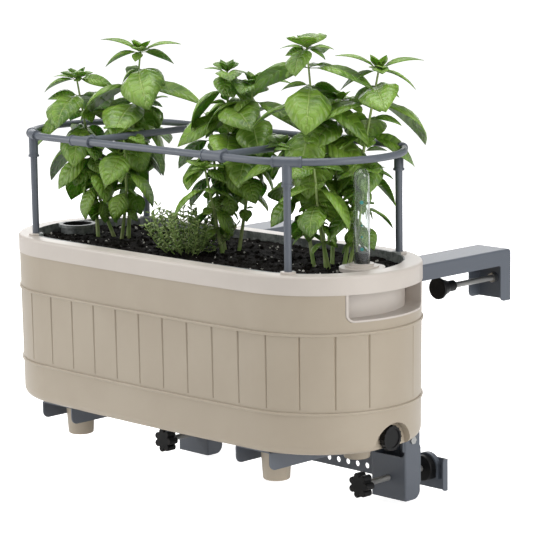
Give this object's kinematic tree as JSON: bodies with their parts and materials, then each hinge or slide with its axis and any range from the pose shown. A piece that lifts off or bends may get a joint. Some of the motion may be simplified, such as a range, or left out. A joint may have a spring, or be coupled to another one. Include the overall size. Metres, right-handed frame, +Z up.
{
  "type": "railing planter",
  "caption": "Self-watering herb planter with a tube trellis and a water gauge, hung on a deck rail by two clamp brackets with screw pads.",
  "frame": {"origin": "the rail's top front edge, midway between the two hooks", "axes": "+X along the rail, the planter's long side; +Y from the planter across the rail; +Z up"},
  "size_m": [0.7034, 0.5471, 0.661],
  "materials": {
    "beige_plastic": "satin moulded",
    "cream_plastic": "satin moulded",
    "black_plastic": "matte black",
    "black_rubber": "soft",
    "clear_plastic": "clear polished",
    "teal_mark": "printed",
    "slate_coat": "powder coat",
    "zinc": "zinc plated",
    "soil": "loose potting soil",
    "leaf_green": "living leaves"
  },
  "bodies": {
    "brackets": {"spreader_plate": "slate_coat", "frame_bolts": "zinc", "frame_nuts": "zinc", "clamp_nuts": "zinc", "hook_left": "slate_coat", "leg_left": "slate_coat", "shelf_left": "slate_coat", "hook_right": "slate_coat", "leg_right": "slate_coat", "shelf_right": "slate_coat"},
    "planter": {"tub": "beige_plastic"},
    "insert": {"liner": "cream_plastic", "gauge_tube": "clear_plastic", "gauge_marks": "teal_mark", "soil": "soil", "basil_left": "leaf_green", "basil_middle": "leaf_green", "basil_right": "leaf_green", "thyme": "leaf_green", "rail_front": "slate_coat", "rail_back": "slate_coat", "end_arc_left": "slate_coat", "cross_bar_left": "slate_coat", "end_arc_right": "slate_coat", "cross_bar_right": "slate_coat", "rail_front_left": "slate_coat", "cross_tee_front_left": "slate_coat", "post_tee_front_left": "slate_coat", "post_front_left": "slate_coat", "rail_back_left": "slate_coat", "cross_tee_back_left": "slate_coat", "post_tee_back_left": "slate_coat", "post_back_left": "slate_coat", "rail_front_right": "slate_coat", "cross_tee_front_right": "slate_coat", "post_tee_front_right": "slate_coat", "post_front_right": "slate_coat", "rail_back_right": "slate_coat", "cross_tee_back_right": "slate_coat", "post_tee_back_right": "slate_coat", "post_back_right": "slate_coat"},
    "float": {"gauge_float": "black_plastic"},
    "plug_washer": {"drain_washer": "black_rubber"},
    "plug": {"drain_cap": "black_plastic"},
    "upper_clamp_pad_left": {"upper_pad_left": "black_plastic"},
    "upper_clamp_screw_left": {"upper_screw_left": "zinc"},
    "lower_clamp_shoe_left": {"shoe_left": "slate_coat", "cup_pad_left": "black_plastic"},
    "lower_clamp_screw_left": {"lower_screw_left": "zinc", "star_knob_left": "black_plastic"},
    "upper_clamp_pad_right": {"upper_pad_right": "black_plastic"},
    "upper_clamp_screw_right": {"upper_screw_right": "zinc"},
    "lower_clamp_shoe_right": {"shoe_right": "slate_coat", "cup_pad_right": "black_plastic"},
    "lower_clamp_screw_right": {"lower_screw_right": "zinc", "star_knob_right": "black_plastic"}
  },
  "joints": [
    {"name": "planter_lift", "type": "slide", "parent": "brackets", "child": "planter", "axis": [0, 0, 1], "range_m": [0, 0.06]},
    {"name": "insert_lift", "type": "slide", "parent": "planter", "child": "insert", "axis": [0, 0, 1], "range_m": [0, 0.22]},
    {"name": "float_rise", "type": "slide", "parent": "insert", "child": "float", "axis": [0, 0, 1], "range_m": [0, 0.064]},
    {"name": "plug_travel", "type": "slide", "parent": "planter", "child": "plug_washer", "axis": [1, 0, 0], "range_m": [0, 0.018]},
    {"name": "plug_turn", "type": "hinge", "parent": "plug_washer", "child": "plug", "pos_m": [0.335, -0.17545, -0.176], "axis": [1, 0, 0], "range_deg": [0, 3600]},
    {"name": "upper_clamp_travel_left", "type": "slide", "parent": "brackets", "child": "upper_clamp_pad_left", "axis": [0, 1, 0], "range_m": [-0.0135, 0.06]},
    {"name": "upper_clamp_turn_left", "type": "hinge", "parent": "upper_clamp_pad_left", "child": "upper_clamp_screw_left", "pos_m": [-0.203, 0.2, -0.023], "axis": [0, 1, 0], "range_deg": [-3960, 17640]},
    {"name": "lower_clamp_travel_left", "type": "slide", "parent": "brackets", "child": "lower_clamp_shoe_left", "axis": [0, 1, 0], "range_m": [-0.035, 0.047]},
    {"name": "lower_clamp_turn_left", "type": "hinge", "parent": "lower_clamp_shoe_left", "child": "lower_clamp_screw_left", "pos_m": [-0.203, 0, -0.282], "axis": [0, 1, 0], "range_deg": [-10440, 13700]},
    {"name": "upper_clamp_travel_right", "type": "slide", "parent": "brackets", "child": "upper_clamp_pad_right", "axis": [0, 1, 0], "range_m": [-0.0135, 0.06]},
    {"name": "upper_clamp_turn_right", "type": "hinge", "parent": "upper_clamp_pad_right", "child": "upper_clamp_screw_right", "pos_m": [0.203, 0.2, -0.023], "axis": [0, 1, 0], "range_deg": [-3960, 17640]},
    {"name": "lower_clamp_travel_right", "type": "slide", "parent": "brackets", "child": "lower_clamp_shoe_right", "axis": [0, 1, 0], "range_m": [-0.035, 0.047]},
    {"name": "lower_clamp_turn_right", "type": "hinge", "parent": "lower_clamp_shoe_right", "child": "lower_clamp_screw_right", "pos_m": [0.203, 0, -0.282], "axis": [0, 1, 0], "range_deg": [-10440, 13700]}
  ],
  "couplings": [
    {"joint": "plug_turn", "follows": "plug_travel", "rad_per_m": 3141.6},
    {"joint": "upper_clamp_turn_left", "follows": "upper_clamp_travel_left", "rad_per_m": 5026.5},
    {"joint": "lower_clamp_turn_left", "follows": "lower_clamp_travel_left", "rad_per_m": 5026.5},
    {"joint": "upper_clamp_turn_right", "follows": "upper_clamp_travel_right", "rad_per_m": 5026.5},
    {"joint": "lower_clamp_turn_right", "follows": "lower_clamp_travel_right", "rad_per_m": 5026.5}
  ]
}
